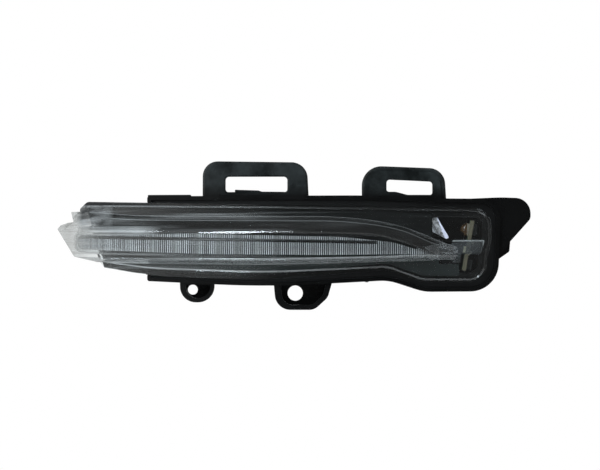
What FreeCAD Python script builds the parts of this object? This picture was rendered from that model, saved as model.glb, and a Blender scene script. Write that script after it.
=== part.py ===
import FreeCAD, Part
import math
import os

# Mirror turn signal lamp: a bowed black housing with fixing loops and ears, a clear blade-shaped
# lens, a toothed light guide in a dark bezel, and a small board of LEDs at the inboard end.
# Millimetres. +X runs inboard along the lamp, +Z is up and -Y faces the viewer. The origin is the
# centre of the main ear's screw hole, on the front face of the ear's floor.
Vector = FreeCAD.Vector

# Limits well outside the lamp, for cutting shapes
FAR_X, FAR_Y = 130.0, 90.0
LOW_Z, HIGH_Z = -30.0, 80.0

# Plan bow: every front surface is the same arc, moved back by its own depth
BOW_RADIUS = 300.0
BOW_CENTRE_X = 30.0

# Depths, back from the frontmost line of the lens
LENS_WALL = 2.2
STEP_DEPTH = 6.5
LEDGE_DEPTH = 8.2
LIP_DEPTH = 9.2
SKIRT_DEPTH = 13.2
GROOVE_DEPTH = 14.0
FLANGE_BACK_DEPTH = 16.0
FLOOR_DEPTH = 24.0
FLOOR_WALL = 2.0
EAR_FLOOR_DEPTH = 18.0
SMALL_EAR_FLOOR_DEPTH = 15.5
BEZEL_DEPTH = 10.2
BEZEL_WALL = 1.5
GUIDE_DEPTH = 3.4

# Walls and clearances, seen from the front
LIP_WALL = 1.65
SKIRT_WALL = 2.0
TUB_WALL = 1.6
FIT_GAP = 0.3
BEAD_GAP = 0.03
STEP_EASE = 0.8
LOOP_EASE = 0.9
SLOT_EASE = 0.6

# Main outlines as corners (x, z, corner radius)
RIM = [
    (-62.3, 40.7, 1.0), (28.0, 41.0, 300.0), (62.0, 39.7, 300.0), (86.4, 39.6, 9.0),
    (84.9, 0.8, 12.0), (53.8, 0.6, 20.0), (39.0, 5.4, 20.0), (-12.0, 2.7, 400.0), (-62.3, 5.0, 1.0),
]
LENS = [
    (-91.2, 35.2, 1.5), (-87.8, 38.4, 2.5), (-62.0, 38.0, 300.0), (0.0, 36.9, 600.0), (82.2, 35.7, 7.5),
    (82.2, 21.5, 6.0), (80.4, 15.0, 6.0), (80.2, 4.7, 8.0), (52.8, 4.7, 15.0), (38.0, 9.9, 12.0),
    (-12.0, 5.4, 300.0), (-62.0, 7.3, 150.0), (-80.5, 10.6, 1.5), (-83.4, 14.2, 1.0),
]
STEP = [
    (-89.3, 35.2, 1.0), (-87.0, 37.2, 1.5), (-62.0, 36.9, 300.0), (0.0, 36.3, 600.0), (81.5, 35.1, 7.0),
    (81.5, 21.6, 5.5), (79.7, 15.1, 5.5), (79.4, 5.4, 7.0), (53.3, 5.4, 14.0), (38.4, 10.7, 11.0),
    (-12.0, 8.4, 300.0), (-62.0, 10.0, 150.0), (-79.2, 12.6, 1.0), (-81.4, 15.2, 1.0),
]
# The cavity ends short of the lens's clear outboard end, along this slanted line
CAVITY_END_TOP = (-88.0, 38.4)
CAVITY_END_BOTTOM = (-79.0, 10.6)
OUTBOARD_LAND = 1.0

# Blade of the lens: x, base top, front top, front bottom, base bottom, depth of the front
BLADE = [
    (-104.0, 34.5, 27.2, 14.7, 13.3, 0.0),
    (-84.0, 33.9, 26.6, 14.3, 13.0, 0.0),
    (-62.0, 32.5, 26.1, 14.1, 12.4, 0.0),
    (-20.0, 32.3, 25.7, 14.0, 12.0, 0.0),
    (12.0, 32.2, 25.6, 14.4, 12.5, 0.0),
    (31.0, 30.7, 25.0, 14.8, 13.0, 0.0),
    (43.6, 28.2, 22.4, 15.2, 13.3, 0.1),
    (53.0, 24.9, 19.2, 15.5, 13.6, 0.5),
    (58.0, 23.0, 17.8, 15.5, 13.8, 1.9),
    (62.0, 21.6, 17.2, 15.4, 13.9, 3.6),
    (68.0, 19.4, 16.9, 15.2, 14.1, 6.2),
]
STATIONS = 16
BLADE_TOP_ROUND, BLADE_BOTTOM_EASE = 2.2, 0.7
BLADE_ROOT_DEPTH = 8.0
BLADE_FIN_DEPTH = 3.2
BLADE_WALL = 2.4
BLADE_EDGE_WALL = 0.8
BLADE_FOOT_WALL = 1.0
BLADE_CAVITY_BACK = 9.2
BLADE_CAVITY_END_X = 59.8
TIP_POCKET = [
    (-92.2, 25.8, 3.0), (-83.0, 26.4), (-86.5, 36.0), (86.0, 60.0), (86.0, -20.0), (-78.0, 10.0),
    (-81.5, 16.4), (-92.2, 17.4, 3.0),
]
TIP_BACK = [(-94.0, 29.0), (-96.8, 25.8), (-92.9, 15.8), (-80.0, 13.8), (-80.0, 33.0), (-91.0, 33.0)]
TIP_BACK_DEPTH = 11.0
FIN_END = [(-95.9, 29.5), (-98.9, 28.5), (-100.3, 26.9), (-93.2, 15.3), (-83.4, 13.0)]
BLADE_END = [(-94.8, 34.6), (-93.4, 29.4), (-97.0, 26.0), (-92.8, 15.3), (-83.4, 13.0)]

# Light guide: front outline, prism teeth on its back and the plain line between the two lands
GUIDE = [
    (-91.4, 24.5, 2.4), (-40.0, 24.9, 300.0), (20.0, 23.6, 90.0), (41.0, 21.4, 30.0), (54.6, 17.0, 0.2),
    (54.6, 16.5, 0.1), (10.0, 16.1, 400.0), (-40.0, 16.5, 400.0), (-91.4, 18.4, 2.4),
]
TOOTH_PITCH = 0.88
TOOTH_DEPTH = 0.5
TOOTH_FIRST_X, TOOTH_LAST_X = -88.0, 53.5
GUIDE_THICK = 3.2
GUIDE_LEFT_RUN, GUIDE_RIGHT_RUN = 4.0, 2.0
GUIDE_LINE_DEPTH = 0.4
GUIDE_LINE = [
    (-95.0, 23.8), (-61.0, 23.0), (2.0, 22.1), (30.0, 21.3), (34.0, 20.7), (30.0, 20.5), (2.0, 21.2),
    (-61.0, 22.1), (-95.0, 22.9),
]
# Root of the guide: x, front depth, back depth, bottom, top
ROOT = [
    (48.0, 3.7, 6.6, 16.3, 18.6), (54.0, 5.6, 9.2, 16.3, 18.8), (60.0, 9.9, 13.6, 15.8, 20.0),
    (69.6, 10.2, 16.0, 14.9, 21.3),
]

# Bezel: trough walls around the guide, and the window over the board at the inboard end
TROUGH_GAP = 0.3
TROUGH_WALL = 1.0
TROUGH_DEPTH = 5.8
TROUGH_END_X = 46.0
BEZEL_WINDOW = [
    (57.0, 60.0), (57.0, 22.6), (49.0, 22.6), (49.0, 14.6), (60.0, 14.6), (60.0, 12.2), (68.5, 12.2),
    (68.5, -20.0), (120.0, -20.0), (120.0, 60.0),
]

# Short rib along the rim's top edge, and the moulding gate's nub on the lens
RIM_RIB = [(-62.0, 40.0), (-62.0, 41.25, 0.3), (-43.8, 41.3, 0.3), (-43.8, 40.0)]
GATE_NUB = [(69.2, 33.0), (69.0, 34.9, 0.4), (70.2, 34.9, 0.4), (70.4, 33.0)]
GATE_NUB_RISE = 0.6

# Fixing loops above the rim
LOOP_LEFT = [(-38.9, 39.0), (-38.8, 55.4, 6.3), (4.9, 54.8, 6.8), (5.7, 39.0)]
SLOT_LEFT = [(-29.2, 42.4, 1.2), (-29.2, 48.8, 1.5), (-3.3, 48.8, 1.5), (-3.3, 42.4, 1.2)]
CATCH_LEFT = [(-25.3, 40.0), (-25.3, 43.4), (-15.5, 43.1), (-14.0, 42.6), (-4.4, 42.5), (-4.4, 40.0)]
LOOP_RIGHT = [(27.9, 39.0), (27.8, 53.5, 8.2), (62.4, 52.2, 6.8), (63.3, 38.5)]
SLOT_RIGHT = [
    (38.2, 42.5, 1.0), (38.2, 47.6, 1.4), (57.4, 46.7, 1.4), (57.4, 41.2, 1.0), (47.0, 41.2, 3.0),
    (42.0, 42.5, 3.0),
]
PANEL_RIGHT = [(31.0, 39.6), (30.8, 51.4, 5.5), (60.4, 50.6, 5.0), (61.2, 39.0)]
LOOP_FRONT, LOOP_BACK = 10.0, 13.0
PANEL_RISE = 0.9
CATCH_BACK = 16.0

# Ears below the rim: cup outline, pocket outline and screw hole
EAR_FRONT = 10.0
EAR_FLOOR_WALL = 2.2
EAR_MAIN = [(-9.4, 8.6), (-8.0, -6.95, 6.5), (8.0, -6.95, 5.5), (13.6, -1.8, 5.0), (16.6, 8.6)]
POCKET_MAIN = [(-6.2, 8.6), (-5.4, -4.9, 4.8), (7.4, -4.9, 4.3), (11.6, -1.0, 4.0), (13.8, 8.6)]
HOLE_MAIN_RADIUS = 3.2
EAR_SMALL = [(-48.6, 8.6), (-48.2, -3.9, 6.6), (-34.1, -3.9, 6.8), (-33.8, 8.6)]
POCKET_SMALL = [(-46.0, 8.6), (-45.9, -2.1, 4.8), (-35.8, -2.1, 5.0), (-35.6, 8.6)]
HOLE_SMALL_X, HOLE_SMALL_Z = -43.1, 1.4
HOLE_SMALL_RADIUS = 2.1
EAR_ROOT_Z = 3.5

# Webs between the flange and the tub, and gussets behind the loops
WEB_WALL = 1.4
WEB_DEPTH = 22.0
WEB_TOP_X = (-52.0, -24.0, 4.0, 46.0)
WEB_TOP_LOW_Z, WEB_TOP_HIGH_Z = 34.0, 39.0
# Bottom webs: x and lowest z
WEB_BOTTOM = ((-20.0, 4.6), (30.0, 4.6), (56.0, 2.2))
WEB_TALL, WEB_TOE = 5.0, 0.6
WEB_SINK = 0.8
GUSSET_X = (-34.4, 1.0, 33.0, 60.4)
GUSSET_LOW_Z, GUSSET_TOP_Z = 39.6, 46.0
JOIN = 0.5

# Wing at the inboard end and the hook behind its lower edge
WING = [
    (70.0, 39.5), (86.0, 40.2, 60.0), (98.9, 39.8, 6.6), (98.8, 31.2, 3.0), (90.3, 21.8, 0.6), (84.4, 13.4),
    (82.0, 13.0), (82.0, 30.0), (70.0, 36.0),
]
WING_FRONT, WING_BACK = 10.6, 13.0
HOOK = [(83.0, 24.0), (90.3, 22.2), (89.9, 17.4, 1.2), (85.8, 14.6, 0.8), (83.0, 11.0)]
HOOK_BACK = 19.0

# Board assembly: built upright, then leaned about this point together with the connector
LEAN = 10.0
LEAN_X, LEAN_Z = 72.2, 19.3
BOARD_THICK = 1.6
BOARD_FRONT = 10.4
BOARD_LOW_Z, BOARD_HIGH_Z = 9.4, 30.6
BOARD_LEFT, BOARD_RIGHT = LEAN_X - BOARD_THICK / 2, LEAN_X + BOARD_THICK / 2
PART_GAP = 0.02
SEAT_GAP = 0.1
LED_WIDE, LED_TALL = 2.6, 1.0
LED_Z = 18.1
LED_FRONT_DEPTH, LED_REAR_DEPTH = 11.8, 14.6
SIDE_LED_WIDE, SIDE_LED_TALL, SIDE_LED_DOME, SIDE_LED_SINK = 5.0, 1.7, 2.2, 0.4
SIDE_LED_Z, SIDE_LED_DEPTH = 26.6, 14.0
SLOT_RIB_WALL, SLOT_RIB_TALL = 1.3, 2.8
SLOT_RIB_LEFT_Z, SLOT_RIB_RIGHT_Z = (16.0, 30.0), (10.5, 14.5)
# Packages on the board's inboard face: depth, z, width, length, height
CHIP = (14.2, 27.0, 3.9, 4.9, 1.5)
DIODE = (13.6, 12.2, 2.6, 4.3, 2.2)
CAPACITOR = (17.6, 12.2, 2.5, 3.2, 1.3)
RESISTOR = (18.2, 27.0, 1.4, 2.8, 0.6)
RESISTOR_PITCH = 2.0
PIN_WIDE, PIN_THICK = 1.5, 0.8
PIN_Z = (16.8, 21.8)
PIN_START_DEPTH, PIN_END_DEPTH = 18.5, 34.5
SOCKET_WIDE, SOCKET_TALL, SOCKET_WALL = 8.2, 13.0, 1.4
SOCKET_FLOOR = 0.8
SOCKET_X = 73.4
SHROUD_DEPTH = 39.5
LATCH_RISE = 1.2

# Clamp over the guide's root, and its screw
CLAMP_FRONT, CLAMP_BACK = 8.95, 9.75
CLAMP = [
    (65.6, 12.8), (65.6, 22.3, 0.8), (79.3, 22.3, 0.5), (77.6, 16.4, 0.5), (69.0, 16.4, 0.5), (69.0, 12.8),
]
CLAMP_LEG = (61.5, 69.0, 12.8, 14.5)
CLAMP_FOOT = (61.5, 69.0, 9.2, 14.5)
CLAMP_FOOT_WALL = 1.6
CLAMP_LEG_FREE = 6.0
SCREW_X, SCREW_Z = 65.0, 10.9
SCREW_RADIUS, SCREW_HEAD_RADIUS, SCREW_HEAD_TALL = 1.1, 1.65, 1.4
SCREW_END_DEPTH, SCREW_END_GAP = 30.0, 0.3
SCREW_SEAT = 0.5
BOSS_RADIUS, BOSS_DEPTH = 2.7, 31.5

# Reflector beside the upper LED
REFLECTOR = [(57.4, 25.8), (57.4, 31.6, 0.4), (59.4, 31.8, 0.4), (64.4, 23.2, 0.5), (63.2, 22.8, 0.4)]
REFLECTOR_FRONT = 10.0
REFLECTOR_SCOOP = 9.0
REFLECTOR_SCOOP_DEPTH = 2.6
SCOOP_START, SCOOP_RUN = (59.6, 33.0), (5.0, -8.8)

# Breather in the floor
VENT_X, VENT_Z = 10.0, 21.0
VENT_RADIUS, VENT_PATCH_RADIUS, VENT_PATCH_THICK = 1.2, 4.2, 0.35
VENT_RECESS, VENT_SEAT = 0.6, 0.05


def bow(x):
    """How far the bowed arc lies behind its frontmost point at x."""
    return BOW_RADIUS - math.sqrt(BOW_RADIUS ** 2 - (x - BOW_CENTRE_X) ** 2)


def y_at(x, depth):
    """Y of a bowed surface at x."""
    return bow(x) - bow(0.0) + depth - EAR_FLOOR_DEPTH


def slab(front, back):
    """Everything between two bowed surfaces."""
    def arc(depth):
        points = [Vector(x, y_at(x, depth), LOW_Z) for x in (-FAR_X, BOW_CENTRE_X, FAR_X)]
        return Part.Arc(*points).toShape()
    ahead, behind = arc(front), arc(back)
    sides = [Part.LineSegment(Vector(x, y_at(x, front), LOW_Z), Vector(x, y_at(x, back), LOW_Z)).toShape()
             for x in (-FAR_X, FAR_X)]
    wire = Part.Wire(Part.__sortEdges__([ahead, behind] + sides))
    return Part.Face(wire).extrude(Vector(0, 0, HIGH_Z - LOW_Z))


def rounded_wire(corners, place):
    """Closed wire of straight runs and tangent arcs; place turns a corner's (u, v) into a point."""
    edges, ends = [], []
    count = len(corners)
    for i in range(count):
        u, v, radius = corners[i]
        before = FreeCAD.Base.Vector2d(corners[i - 1][0] - u, corners[i - 1][1] - v)
        after = FreeCAD.Base.Vector2d(corners[(i + 1) % count][0] - u, corners[(i + 1) % count][1] - v)
        one = (before.x / before.length(), before.y / before.length())
        two = (after.x / after.length(), after.y / after.length())
        half = math.acos(max(-1.0, min(1.0, one[0] * two[0] + one[1] * two[1]))) / 2
        if radius <= 0:
            ends.append((place(u, v), place(u, v)))
            continue
        reach = radius / math.tan(half)
        start = (u + one[0] * reach, v + one[1] * reach)
        end = (u + two[0] * reach, v + two[1] * reach)
        middle = (one[0] + two[0], one[1] + two[1])
        size = math.hypot(*middle)
        inward = radius / math.sin(half) - radius
        crown = (u + middle[0] / size * inward, v + middle[1] / size * inward)
        ends.append((place(*start), place(*end)))
        edges.append((i, Part.Arc(place(*start), place(*crown), place(*end)).toShape()))
    arcs = dict(edges)
    run = []
    for i in range(count):
        if i in arcs:
            run.append(arcs[i])
        leave, arrive = ends[i][1], ends[(i + 1) % count][0]
        if leave.distanceToPoint(arrive) > 1e-6:
            run.append(Part.LineSegment(leave, arrive).toShape())
    return Part.Wire(run)


def front_wire(corners):
    """Outline in the front view, well ahead of the lamp."""
    return rounded_wire([c if len(c) == 3 else (*c, 0.0) for c in corners], lambda x, z: Vector(x, -FAR_Y, z))


def through(wire):
    """The outline run straight back through the whole lamp."""
    return Part.Face(wire).extrude(Vector(0, 2 * FAR_Y, 0))


def plate(corners, front, back):
    """A bowed plate with this outline."""
    return through(front_wire(corners)).common(slab(front, back))


def inset(corners, distance):
    """The outline moved inward, as a wire."""
    return front_wire(corners).makeOffset2D(-distance, 2)


def front_edges(shape, depth):
    """Edges that lie on the bowed surface at this depth."""
    found = []
    for edge in shape.Edges:
        middle = edge.valueAt((edge.FirstParameter + edge.LastParameter) / 2)
        points = [v.Point for v in edge.Vertexes] + [middle]
        if all(abs(point.y - y_at(point.x, depth)) < 0.01 for point in points):
            found.append(edge)
    return found


def block(x0, x1, y0, y1, z0, z1):
    return Part.makeBox(x1 - x0, y1 - y0, z1 - z0, Vector(x0, y0, z0))


def post(x, z, radius, y0, y1):
    """Round post or hole along Y."""
    return Part.makeCylinder(radius, y1 - y0, Vector(x, y0, z), Vector(0, 1, 0))


def cavity_side(shift):
    """Everything inboard of the slanted outboard end of the cavity."""
    (top_x, top_z), (bottom_x, bottom_z) = CAVITY_END_TOP, CAVITY_END_BOTTOM
    corners = [(top_x + shift, top_z), (FAR_X, HIGH_Z), (FAR_X, LOW_Z), (bottom_x + shift, bottom_z)]
    return through(front_wire(corners))


def along(rows, column, x):
    """One column of a table at x, on a smooth curve through its rows that never overshoots them."""
    places = [row[0] for row in rows]
    values = [row[column] for row in rows]
    runs = [(b - a) / (q - p) for a, b, p, q in zip(values, values[1:], places, places[1:])]
    slopes = [runs[0]]
    for one, two in zip(runs, runs[1:]):
        slopes.append(2 * one * two / (one + two) if one * two > 0 else 0.0)
    slopes.append(runs[-1])
    i = max(k for k in range(len(runs)) if places[k] <= x or k == 0)
    span = places[i + 1] - places[i]
    t = (x - places[i]) / span
    keep = (1 + 2 * t) * (1 - t) ** 2 * values[i] + t * t * (3 - 2 * t) * values[i + 1]
    return keep + span * t * (1 - t) * ((1 - t) * slopes[i] - t * slopes[i + 1])


def blade_section(row, base_depth, top_round, bottom_ease):
    """Blade cross-section at one station: a rounded upper nose edge and an eased lower one."""
    x, base_top, front_top, front_bottom, base_bottom, depth = row
    corners = [
        (y_at(x, base_depth), base_top, 0.0),
        (y_at(x, STEP_DEPTH), base_top, 0.0),
        (y_at(x, depth), front_top, top_round),
        (y_at(x, depth), front_bottom + bottom_ease, 0.0),
    ]
    if bottom_ease > 0:
        corners.append((y_at(x, depth + bottom_ease), front_bottom, 0.0))
    corners.append((y_at(x, STEP_DEPTH), base_bottom, 0.0))
    corners.append((y_at(x, base_depth), base_bottom, 0.0))
    return rounded_wire(corners, lambda y, z: Vector(x, y, z))


def blade_rows(end):
    """Evenly spaced stations of the blade from its outboard end to x = end."""
    start = BLADE[0][0]
    places = [start + (end - start) * i / (STATIONS - 1) for i in range(STATIONS)]
    return [(x, *(along(BLADE, column, x) for column in range(1, 6))) for x in places]


def make_blade_cavity():
    """Hollow of the blade, ending in a round pocket at the outboard tip."""
    inner = []
    for x, base_top, front_top, front_bottom, base_bottom, depth in blade_rows(BLADE_CAVITY_END_X):
        inner.append((x, base_top - BLADE_WALL, front_top - BLADE_EDGE_WALL,
                      front_bottom + BLADE_EDGE_WALL, base_bottom + BLADE_FOOT_WALL, depth + BLADE_WALL))
    loft = Part.makeLoft([blade_section(row, BLADE_CAVITY_BACK, 0.0, 0.0) for row in inner], True, False)
    return loft.common(through(front_wire(TIP_POCKET)))


def make_lens():
    ledge = through(front_wire(LENS)).common(slab(LEDGE_DEPTH, SKIRT_DEPTH))
    cover = plate(STEP, STEP_DEPTH, LEDGE_DEPTH + 1)
    cover = cover.makeChamfer(STEP_EASE, front_edges(cover, STEP_DEPTH))
    nub = plate(GATE_NUB, STEP_DEPTH - GATE_NUB_RISE, STEP_DEPTH + LENS_WALL / 2)
    hollow = through(inset(LENS, SKIRT_WALL)).common(slab(STEP_DEPTH + LENS_WALL, SKIRT_DEPTH + 5))
    hollow = hollow.common(cavity_side(0.0))
    rows = blade_rows(BLADE[-1][0])
    wires = [blade_section(row, BLADE_ROOT_DEPTH, BLADE_TOP_ROUND, BLADE_BOTTOM_EASE) for row in rows]
    blade = Part.makeLoft(wires, True, False)
    keep = [(FAR_X, -20.0), (FAR_X, 60.0)]
    fin = through(front_wire(FIN_END + keep)).common(slab(-5, BLADE_FIN_DEPTH))
    rear = through(front_wire(BLADE_END + keep)).common(slab(BLADE_FIN_DEPTH, 12))
    nose = blade.common(fin).fuse(blade.common(rear))
    tip = plate(TIP_BACK, BLADE_ROOT_DEPTH - JOIN, TIP_BACK_DEPTH)
    solid = ledge.fuse([cover, nose, tip, nub])
    return solid.cut(hollow).cut(make_blade_cavity()).removeSplitter()


def make_guide():
    """Toothed bar: front arc and a zigzag back in plan, cut to the outline, with a bent root."""
    low, high = TOOTH_FIRST_X - GUIDE_LEFT_RUN, TOOTH_LAST_X + GUIDE_RIGHT_RUN
    back = GUIDE_DEPTH + GUIDE_THICK
    count = int((TOOTH_LAST_X - TOOTH_FIRST_X) / TOOTH_PITCH)
    points = [Vector(low, y_at(low, back), 0)]
    for i in range(count):
        x = TOOTH_FIRST_X + i * TOOTH_PITCH
        points.append(Vector(x, y_at(x, back), 0))
        points.append(Vector(x + TOOTH_PITCH / 2, y_at(x + TOOTH_PITCH / 2, back + TOOTH_DEPTH), 0))
    points.append(Vector(high, y_at(high, back), 0))
    ends = [Vector(x, y_at(x, GUIDE_DEPTH), 0) for x in (low, (low + high) / 2, high)]
    run = [Part.LineSegment(a, b).toShape() for a, b in zip(points, points[1:])]
    run.append(Part.LineSegment(points[-1], ends[2]).toShape())
    run.append(Part.Arc(ends[2], ends[1], ends[0]).toShape())
    run.append(Part.LineSegment(ends[0], points[0]).toShape())
    bar = Part.Face(Part.Wire(run)).extrude(Vector(0, 0, HIGH_Z))
    bar = bar.common(through(front_wire(GUIDE)))
    bar = bar.cut(plate(GUIDE_LINE, back - GUIDE_LINE_DEPTH, back + 5))
    sections = []
    for x, front, rear, bottom, top in ROOT:
        lean = math.tan(math.radians(LEAN)) if x == ROOT[-1][0] else 0.0
        corners = [(front, bottom), (front, top), (rear, top), (rear, bottom)]
        ring = [Vector(x + lean * (z - LEAN_Z), y_at(x, d), z) for d, z in corners]
        sections.append(Part.makePolygon(ring + ring[:1]))
    return bar.fuse(Part.makeLoft(sections, True, True))


def make_bezel():
    """Dark plate behind the lens, with the trough that holds the guide."""
    back = BEZEL_DEPTH + BEZEL_WALL
    panel = through(inset(LENS, SKIRT_WALL + 2 * FIT_GAP)).common(slab(BEZEL_DEPTH, back))
    panel = panel.common(cavity_side(2 * FIT_GAP)).cut(through(front_wire(BEZEL_WINDOW)))
    guide = front_wire(GUIDE)
    outer = through(guide.makeOffset2D(TROUGH_GAP + TROUGH_WALL, 2))
    inner = through(guide.makeOffset2D(TROUGH_GAP, 2))
    trough = outer.cut(inner).common(slab(TROUGH_DEPTH, BEZEL_DEPTH + BEZEL_WALL / 2))
    outboard = block(-FAR_X, TROUGH_END_X, -FAR_Y, FAR_Y, LOW_Z, HIGH_Z)
    trough = trough.common(cavity_side(2 * FIT_GAP)).common(outboard)
    return panel.fuse(trough)


def leaned(shape):
    """Lean a piece of the board assembly with the board."""
    out = shape.copy()
    out.rotate(Vector(LEAN_X, 0, LEAN_Z), Vector(0, 1, 0), LEAN)
    return out


def board_y(depth):
    return y_at(LEAN_X, depth)


def board_back():
    """Depth of the board's straight rear edge, just ahead of the bowed floor at its nearest corner."""
    lean = math.radians(LEAN)
    reach = BOARD_THICK / 2 * math.cos(lean) + (LEAN_Z - BOARD_LOW_Z) * math.sin(lean)
    return FLOOR_DEPTH - SEAT_GAP - bow(LEAN_X) + bow(LEAN_X - reach)


def ear(outline, pocket, hole_x, hole_z, radius, floor_y):
    """Cup with a flat floor and a screw hole, joined to the tub behind the rim."""
    behind = floor_y + EAR_FLOOR_WALL
    ahead = block(-FAR_X, FAR_X, -FAR_Y, behind, LOW_Z, HIGH_Z)
    cup = through(front_wire(outline)).common(slab(EAR_FRONT, FLOOR_DEPTH + 20)).common(ahead)
    dish = through(front_wire(pocket)).common(block(-FAR_X, FAR_X, -FAR_Y, floor_y, LOW_Z, EAR_ROOT_Z))
    return cup.cut(dish).cut(post(hole_x, hole_z, radius, -FAR_Y, FAR_Y))


def loop(outline, slot, front):
    """Fixing loop with an eased front edge and slot mouth."""
    solid = plate(outline, front, LOOP_BACK)
    solid = solid.makeChamfer(LOOP_EASE, front_edges(solid, front)).cut(through(front_wire(slot)))
    box = front_wire(slot).BoundBox
    mouth = []
    for edge in front_edges(solid, front):
        middle = edge.CenterOfMass
        if box.isInside(Vector(middle.x, -FAR_Y, middle.z)):
            mouth.append(edge)
    return solid.makeChamfer(SLOT_EASE, mouth)


def web(x, corners):
    """Upright web across the lamp at x, from (depth, z) corners."""
    ring = [Vector(x - WEB_WALL / 2, y_at(x, d), z) for d, z in corners]
    return Part.Face(Part.makePolygon(ring + ring[:1])).extrude(Vector(WEB_WALL, 0, 0))


def make_webs():
    front, toe = FLANGE_BACK_DEPTH - WEB_SINK, WEB_TOP_LOW_Z + WEB_TOE
    top = [(front, WEB_TOP_LOW_Z), (front, WEB_TOP_HIGH_Z), (WEB_DEPTH, toe), (WEB_DEPTH, WEB_TOP_LOW_Z)]
    webs = [web(x, top) for x in WEB_TOP_X]
    for x, low in WEB_BOTTOM:
        high, toe = low + WEB_TALL, low + WEB_TALL - WEB_TOE
        webs.append(web(x, [(front, high), (front, low), (WEB_DEPTH, toe), (WEB_DEPTH, high)]))
    loop_back, toe = LOOP_BACK - JOIN, GUSSET_LOW_Z + WEB_TOE
    gusset = [(loop_back, GUSSET_LOW_Z), (loop_back, GUSSET_TOP_Z), (FLANGE_BACK_DEPTH, toe),
              (FLANGE_BACK_DEPTH, GUSSET_LOW_Z)]
    return webs + [web(x, gusset) for x in GUSSET_X]


def slot_rib(left, span):
    """Rib on the floor that holds one side of the board's edge."""
    front, back = board_y(FLOOR_DEPTH - SLOT_RIB_TALL), board_y(FLOOR_DEPTH + FLOOR_WALL / 2)
    return leaned(block(left, left + SLOT_RIB_WALL, front, back, *span))


def make_shroud(back):
    """Connector shroud behind the floor, and the socket inside it."""
    half, tall = SOCKET_WIDE / 2, SOCKET_TALL / 2
    left, right = SOCKET_X - half, SOCKET_X + half
    low, high = LEAN_Z - tall, LEAN_Z + tall
    front, rear = board_y(back - FLOOR_WALL / 2), board_y(SHROUD_DEPTH)
    shroud = block(left - SOCKET_WALL, right + SOCKET_WALL, front, rear, low - SOCKET_WALL, high + SOCKET_WALL)
    socket = block(left, right, board_y(back + SOCKET_FLOOR), FAR_Y, low, high)
    return leaned(shroud), leaned(socket)


def make_housing():
    rest = BEZEL_DEPTH + BEZEL_WALL + FIT_GAP / 3
    back = FLOOR_DEPTH + FLOOR_WALL
    rim = through(front_wire(RIM)).common(slab(LIP_DEPTH, FLANGE_BACK_DEPTH))
    outboard = through(inset(LENS, FIT_GAP)).common(slab(GROOVE_DEPTH, FLANGE_BACK_DEPTH))
    outboard = outboard.common(cavity_side(-OUTBOARD_LAND))
    tub = through(inset(LENS, SKIRT_WALL + FIT_GAP)).common(cavity_side(FIT_GAP)).common(slab(rest, back))
    wing = plate(WING, WING_FRONT, WING_BACK).fuse(plate(HOOK, WING_BACK - JOIN, HOOK_BACK))
    loops = [
        loop(LOOP_LEFT, SLOT_LEFT, LOOP_FRONT),
        loop(LOOP_RIGHT, SLOT_RIGHT, LOOP_FRONT),
        plate(RIM_RIB, LIP_DEPTH, FLANGE_BACK_DEPTH),
        plate(PANEL_RIGHT, LOOP_FRONT - PANEL_RISE, LOOP_FRONT + JOIN).cut(through(front_wire(SLOT_RIGHT))),
        plate(CATCH_LEFT, LOOP_BACK - JOIN, CATCH_BACK),
    ]
    small_y = y_at(HOLE_SMALL_X, SMALL_EAR_FLOOR_DEPTH)
    ears = [
        ear(EAR_MAIN, POCKET_MAIN, 0.0, 0.0, HOLE_MAIN_RADIUS, 0.0),
        ear(EAR_SMALL, POCKET_SMALL, HOLE_SMALL_X, HOLE_SMALL_Z, HOLE_SMALL_RADIUS, small_y),
    ]
    groove = through(inset(RIM, LIP_WALL)).common(slab(LIP_DEPTH - 5, GROOVE_DEPTH))
    passage = through(front_wire(LENS).makeOffset2D(FIT_GAP, 2)).common(slab(LIP_DEPTH - 5, GROOVE_DEPTH))
    body = rim.fuse([outboard, wing] + loops + ears + make_webs()).cut(groove).cut(passage).fuse(tub)
    well = through(inset(LENS, SKIRT_WALL + FIT_GAP + TUB_WALL)).common(cavity_side(FIT_GAP + TUB_WALL))
    body = body.cut(well.common(slab(LIP_DEPTH, FLOOR_DEPTH)))
    shroud, socket = make_shroud(back)
    boss = post(SCREW_X, SCREW_Z, BOSS_RADIUS, y_at(SCREW_X, back - JOIN), y_at(SCREW_X, BOSS_DEPTH))
    ribs = [
        slot_rib(BOARD_LEFT - SEAT_GAP - SLOT_RIB_WALL, SLOT_RIB_LEFT_Z),
        slot_rib(BOARD_RIGHT + SEAT_GAP, SLOT_RIB_RIGHT_Z),
    ]
    body = body.fuse([shroud, boss] + ribs).cut(socket)
    for z in PIN_Z:
        body = body.cut(leaned(pin_block(z, PART_GAP)))
    bore_end = y_at(SCREW_X, SCREW_END_DEPTH + SCREW_END_GAP)
    body = body.cut(post(SCREW_X, SCREW_Z, SCREW_RADIUS + PART_GAP, -FAR_Y, bore_end))
    vent = post(VENT_X, VENT_Z, VENT_PATCH_RADIUS + FIT_GAP, -FAR_Y, FAR_Y)
    vent = vent.common(slab(back - VENT_RECESS, back + 5))
    return body.cut([vent, post(VENT_X, VENT_Z, VENT_RADIUS, y_at(VENT_X, FLOOR_DEPTH - 1), FAR_Y)])


def make_seal():
    """Bead between the lens skirt and the lip, and under the skirt's edge."""
    lip = through(inset(RIM, LIP_WALL + BEAD_GAP))
    skirt = through(front_wire(LENS).makeOffset2D(BEAD_GAP, 2))
    tub = through(inset(LENS, SKIRT_WALL + FIT_GAP - BEAD_GAP))
    beside = lip.cut(skirt).common(slab(LIP_DEPTH + 1.0, GROOVE_DEPTH - BEAD_GAP))
    under = lip.cut(tub).common(slab(SKIRT_DEPTH + BEAD_GAP, GROOVE_DEPTH - BEAD_GAP))
    return beside.fuse(under)


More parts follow.
